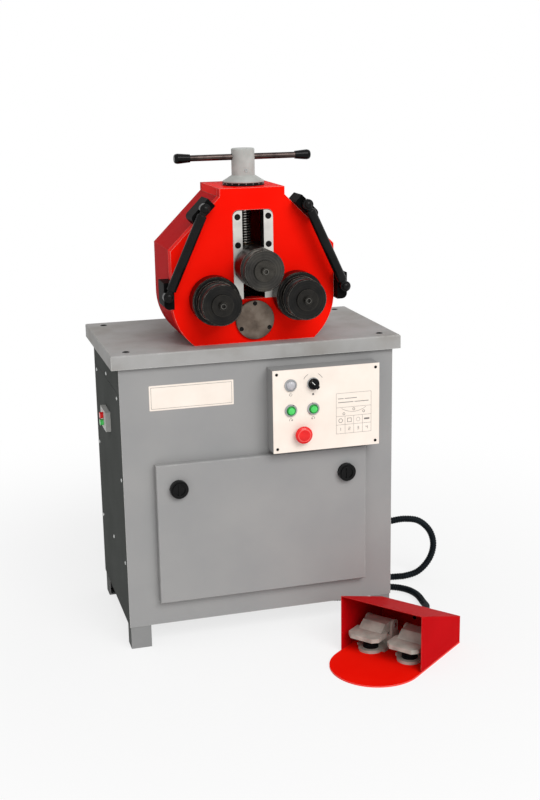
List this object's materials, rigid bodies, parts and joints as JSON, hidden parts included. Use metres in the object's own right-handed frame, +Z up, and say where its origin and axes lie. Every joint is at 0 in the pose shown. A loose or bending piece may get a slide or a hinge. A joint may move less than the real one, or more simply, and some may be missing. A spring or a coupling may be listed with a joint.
{
  "type": "angle roll bender",
  "caption": "Floor-standing roll bender: overhung grooved rolls on a red head with a hand screw, a grey cabinet with controls, and a guarded foot switch on a hose.",
  "frame": {"origin": "on the floor, at the middle of the four anchor holes under the cabinet", "axes": "+Z up, -Y towards the operator at the rolls and controls, +X to the operator's right"},
  "size_m": [0.8679, 0.7431, 1.137],
  "materials": {
    "cabinet_paint": "satin grey enamel",
    "leg_paint": "satin grey enamel",
    "control_cream": "smooth cream laminate",
    "switch_grey": "moulded",
    "chrome_ring": "polished",
    "lamp_lens": "milky lens",
    "black_plastic": "moulded",
    "green_plastic": "moulded",
    "red_plastic": "moulded",
    "red_paint": "gloss red enamel",
    "rail_steel": "ground",
    "cover_steel": "turned",
    "bronze": "turned bearing bronze",
    "carriage_steel": "milled",
    "shaft_steel": "turned",
    "roll_steel": "hardened, blackened",
    "gear_steel": "hobbed",
    "hub_paint": "silver enamel",
    "black_paint": "satin black enamel",
    "drive_paint": "grey-blue enamel",
    "pedal_metal": "cast, painted grey-beige",
    "hose_rubber": "ribbed conduit"
  },
  "bodies": {
    "machine": {"cabinet_floor": "cabinet_paint", "front_sheet": "cabinet_paint", "left_panel": "cabinet_paint", "right_panel": "cabinet_paint", "side_headers": "cabinet_paint", "back_panel": "cabinet_paint", "control_box": "cabinet_paint", "table_top": "cabinet_paint", "legs": "leg_paint", "control_plate": "control_cream", "main_switch_box": "switch_grey", "bezels": "chrome_ring", "lamp_lens": "lamp_lens", "glands": "black_plastic", "head_front": "red_paint", "head_side_left": "red_paint", "head_side_right": "red_paint", "head_top": "red_paint", "head_rear": "red_paint", "pedal_floor": "red_paint", "pedal_guard": "red_paint", "guide_rails": "rail_steel", "bearing_cover": "cover_steel", "bushes": "bronze", "guide_brackets": "black_paint", "guide_bars": "black_paint", "reducer": "drive_paint", "motor": "drive_paint", "pedal_stands": "pedal_metal", "hose": "hose_rubber"},
    "handle": {"lead_screw": "shaft_steel", "dial_ring": "black_plastic", "handle_hub": "hub_paint", "handle_bar": "shaft_steel", "handle_grips": "black_plastic"},
    "carriage": {"slide_block": "carriage_steel", "lead_nut": "bronze", "carriage_bush": "bronze"},
    "upper_roller": {"upper_shaft": "shaft_steel", "upper_roll": "roll_steel"},
    "lower_left_roller": {"lower_left_shaft": "shaft_steel", "lower_left_roll": "roll_steel", "lower_left_gear": "gear_steel"},
    "lower_right_roller": {"lower_right_shaft": "shaft_steel", "lower_right_roll": "roll_steel", "lower_right_gear": "gear_steel"},
    "drive": {"drive_shaft": "shaft_steel", "drive_gear": "gear_steel"},
    "hatch": {"front_hatch": "cabinet_paint"},
    "left_latch": {"latch_left": "black_plastic"},
    "right_latch": {"latch_right": "black_plastic"},
    "selector": {"selector_knob": "black_plastic"},
    "left_start": {"start_left": "green_plastic"},
    "right_start": {"start_right": "green_plastic"},
    "emergency_stop": {"stop_button": "red_plastic"},
    "main_stop_cap": {"main_stop": "red_plastic"},
    "main_start_cap": {"main_start": "green_plastic"},
    "left_tread": {"tread_left": "pedal_metal"},
    "right_tread": {"tread_right": "pedal_metal"}
  },
  "joints": [
    {"name": "handle_turn", "type": "hinge", "parent": "machine", "child": "handle", "pos_m": [0, -0.079, 1], "axis": [0, 0, 1], "range_deg": [-4190, 1790]},
    {"name": "carriage_slide", "type": "slide", "parent": "machine", "child": "carriage", "axis": [0, 0, 1], "range_m": [-0.03, 0.07]},
    {"name": "upper_spin", "type": "hinge", "parent": "carriage", "child": "upper_roller", "pos_m": [0, -0.2, 0.881], "axis": [0, 1, 0], "continuous": true},
    {"name": "lower_left_spin", "type": "hinge", "parent": "machine", "child": "lower_left_roller", "pos_m": [-0.097, -0.2, 0.811], "axis": [0, 1, 0], "continuous": true},
    {"name": "lower_right_spin", "type": "hinge", "parent": "machine", "child": "lower_right_roller", "pos_m": [0.097, -0.2, 0.811], "axis": [0, 1, 0], "continuous": true},
    {"name": "drive_spin", "type": "hinge", "parent": "machine", "child": "drive", "pos_m": [0, 0, 0.75704], "axis": [0, 1, 0], "continuous": true},
    {"name": "hatch_draw", "type": "slide", "parent": "machine", "child": "hatch", "axis": [0, -1, 0], "range_m": [0, 0.08]},
    {"name": "left_latch_turn", "type": "hinge", "parent": "hatch", "child": "left_latch", "pos_m": [-0.201, -0.2, 0.3894], "axis": [0, 1, 0], "range_deg": [0, 90]},
    {"name": "right_latch_turn", "type": "hinge", "parent": "hatch", "child": "right_latch", "pos_m": [0.201, -0.2, 0.3894], "axis": [0, -1, 0], "range_deg": [0, 90]},
    {"name": "selector_turn", "type": "hinge", "parent": "machine", "child": "selector", "pos_m": [0.1125, -0.2, 0.616], "axis": [0, 1, 0], "range_deg": [0, 90]},
    {"name": "left_start_press", "type": "slide", "parent": "machine", "child": "left_start", "axis": [0, 1, 0], "range_m": [0, 0.004], "stiffness_N_per_m": 400, "springref_m": -0.005},
    {"name": "right_start_press", "type": "slide", "parent": "machine", "child": "right_start", "axis": [0, 1, 0], "range_m": [0, 0.004], "stiffness_N_per_m": 400, "springref_m": -0.005},
    {"name": "emergency_stop_press", "type": "slide", "parent": "machine", "child": "emergency_stop", "axis": [0, 1, 0], "range_m": [0, 0.004], "stiffness_N_per_m": 400, "springref_m": -0.005},
    {"name": "main_stop_press", "type": "slide", "parent": "machine", "child": "main_stop_cap", "axis": [1, 0, 0], "range_m": [0, 0.004], "stiffness_N_per_m": 400, "springref_m": -0.005},
    {"name": "main_start_press", "type": "slide", "parent": "machine", "child": "main_start_cap", "axis": [1, 0, 0], "range_m": [0, 0.004], "stiffness_N_per_m": 400, "springref_m": -0.005},
    {"name": "left_tread_press", "type": "hinge", "parent": "machine", "child": "left_tread", "pos_m": [0.2454, -0.32997, 0.052], "axis": [0.6293, -0.7771, 0], "range_deg": [0, 8], "stiffness_Nm_per_rad": 6, "springref_deg": -11.46},
    {"name": "right_tread_press", "type": "hinge", "parent": "machine", "child": "right_tread", "pos_m": [0.30959, -0.40924, 0.052], "axis": [0.6293, -0.7771, 0], "range_deg": [0, 8], "stiffness_Nm_per_rad": 6, "springref_deg": -11.46}
  ],
  "couplings": [
    {"joint": "carriage_slide", "follows": "handle_turn", "m_per_rad": -0.00095493},
    {"joint": "lower_right_spin", "follows": "lower_left_spin", "ratio": 1},
    {"joint": "drive_spin", "follows": "lower_left_spin", "ratio": -1.6429}
  ]
}
